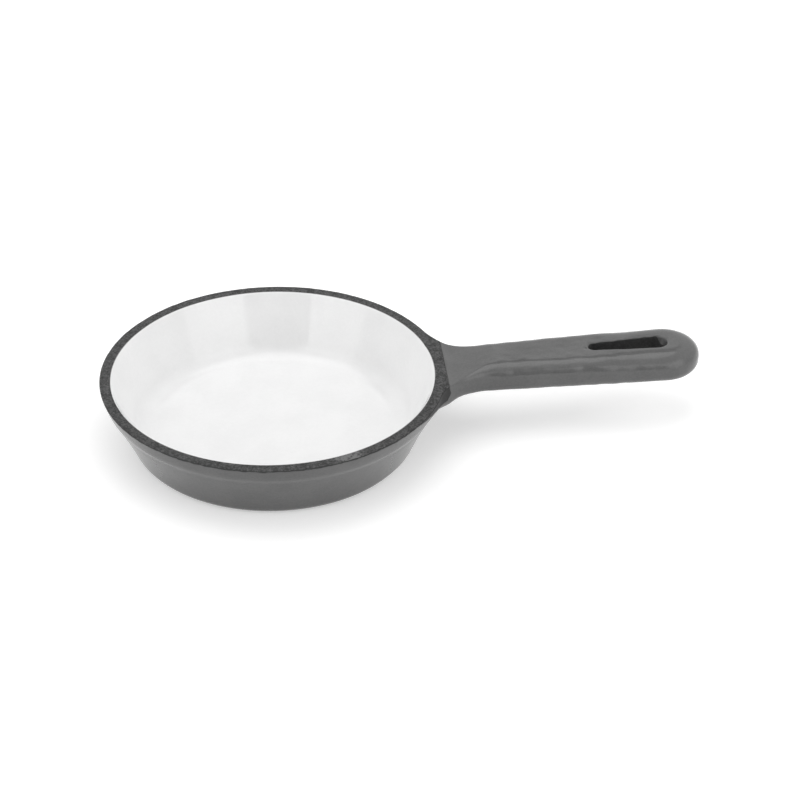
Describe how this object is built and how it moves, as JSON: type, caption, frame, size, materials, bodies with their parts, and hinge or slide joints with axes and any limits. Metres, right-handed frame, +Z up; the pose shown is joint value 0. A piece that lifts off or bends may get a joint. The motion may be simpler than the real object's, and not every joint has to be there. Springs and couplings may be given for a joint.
{
  "type": "frying pan",
  "caption": "Small round enamelled cast-iron frying pan with sloping walls, a thickened rim and a straight handle with a hanging slot.",
  "frame": {"origin": "centre of the flat underside of the bowl, on the surface the pan stands on", "axes": "+X along the handle towards its tip, +Z up out of the bowl"},
  "size_m": [0.2457, 0.1398, 0.0318],
  "materials": {
    "iron": "as-cast grey iron, wholly covered by enamel",
    "white_enamel": "glossy white vitreous enamel",
    "grey_enamel": "satin gloss mid-grey vitreous enamel",
    "black_enamel": "matt, finely gritty black ground-coat enamel"
  },
  "bodies": {
    "root": {"iron_casting": "iron", "interior_enamel": "white_enamel", "exterior_enamel": "grey_enamel", "sole_enamel": "grey_enamel", "rim_ground_coat": "black_enamel", "slot_ground_coat": "black_enamel"}
  },
  "joints": []
}
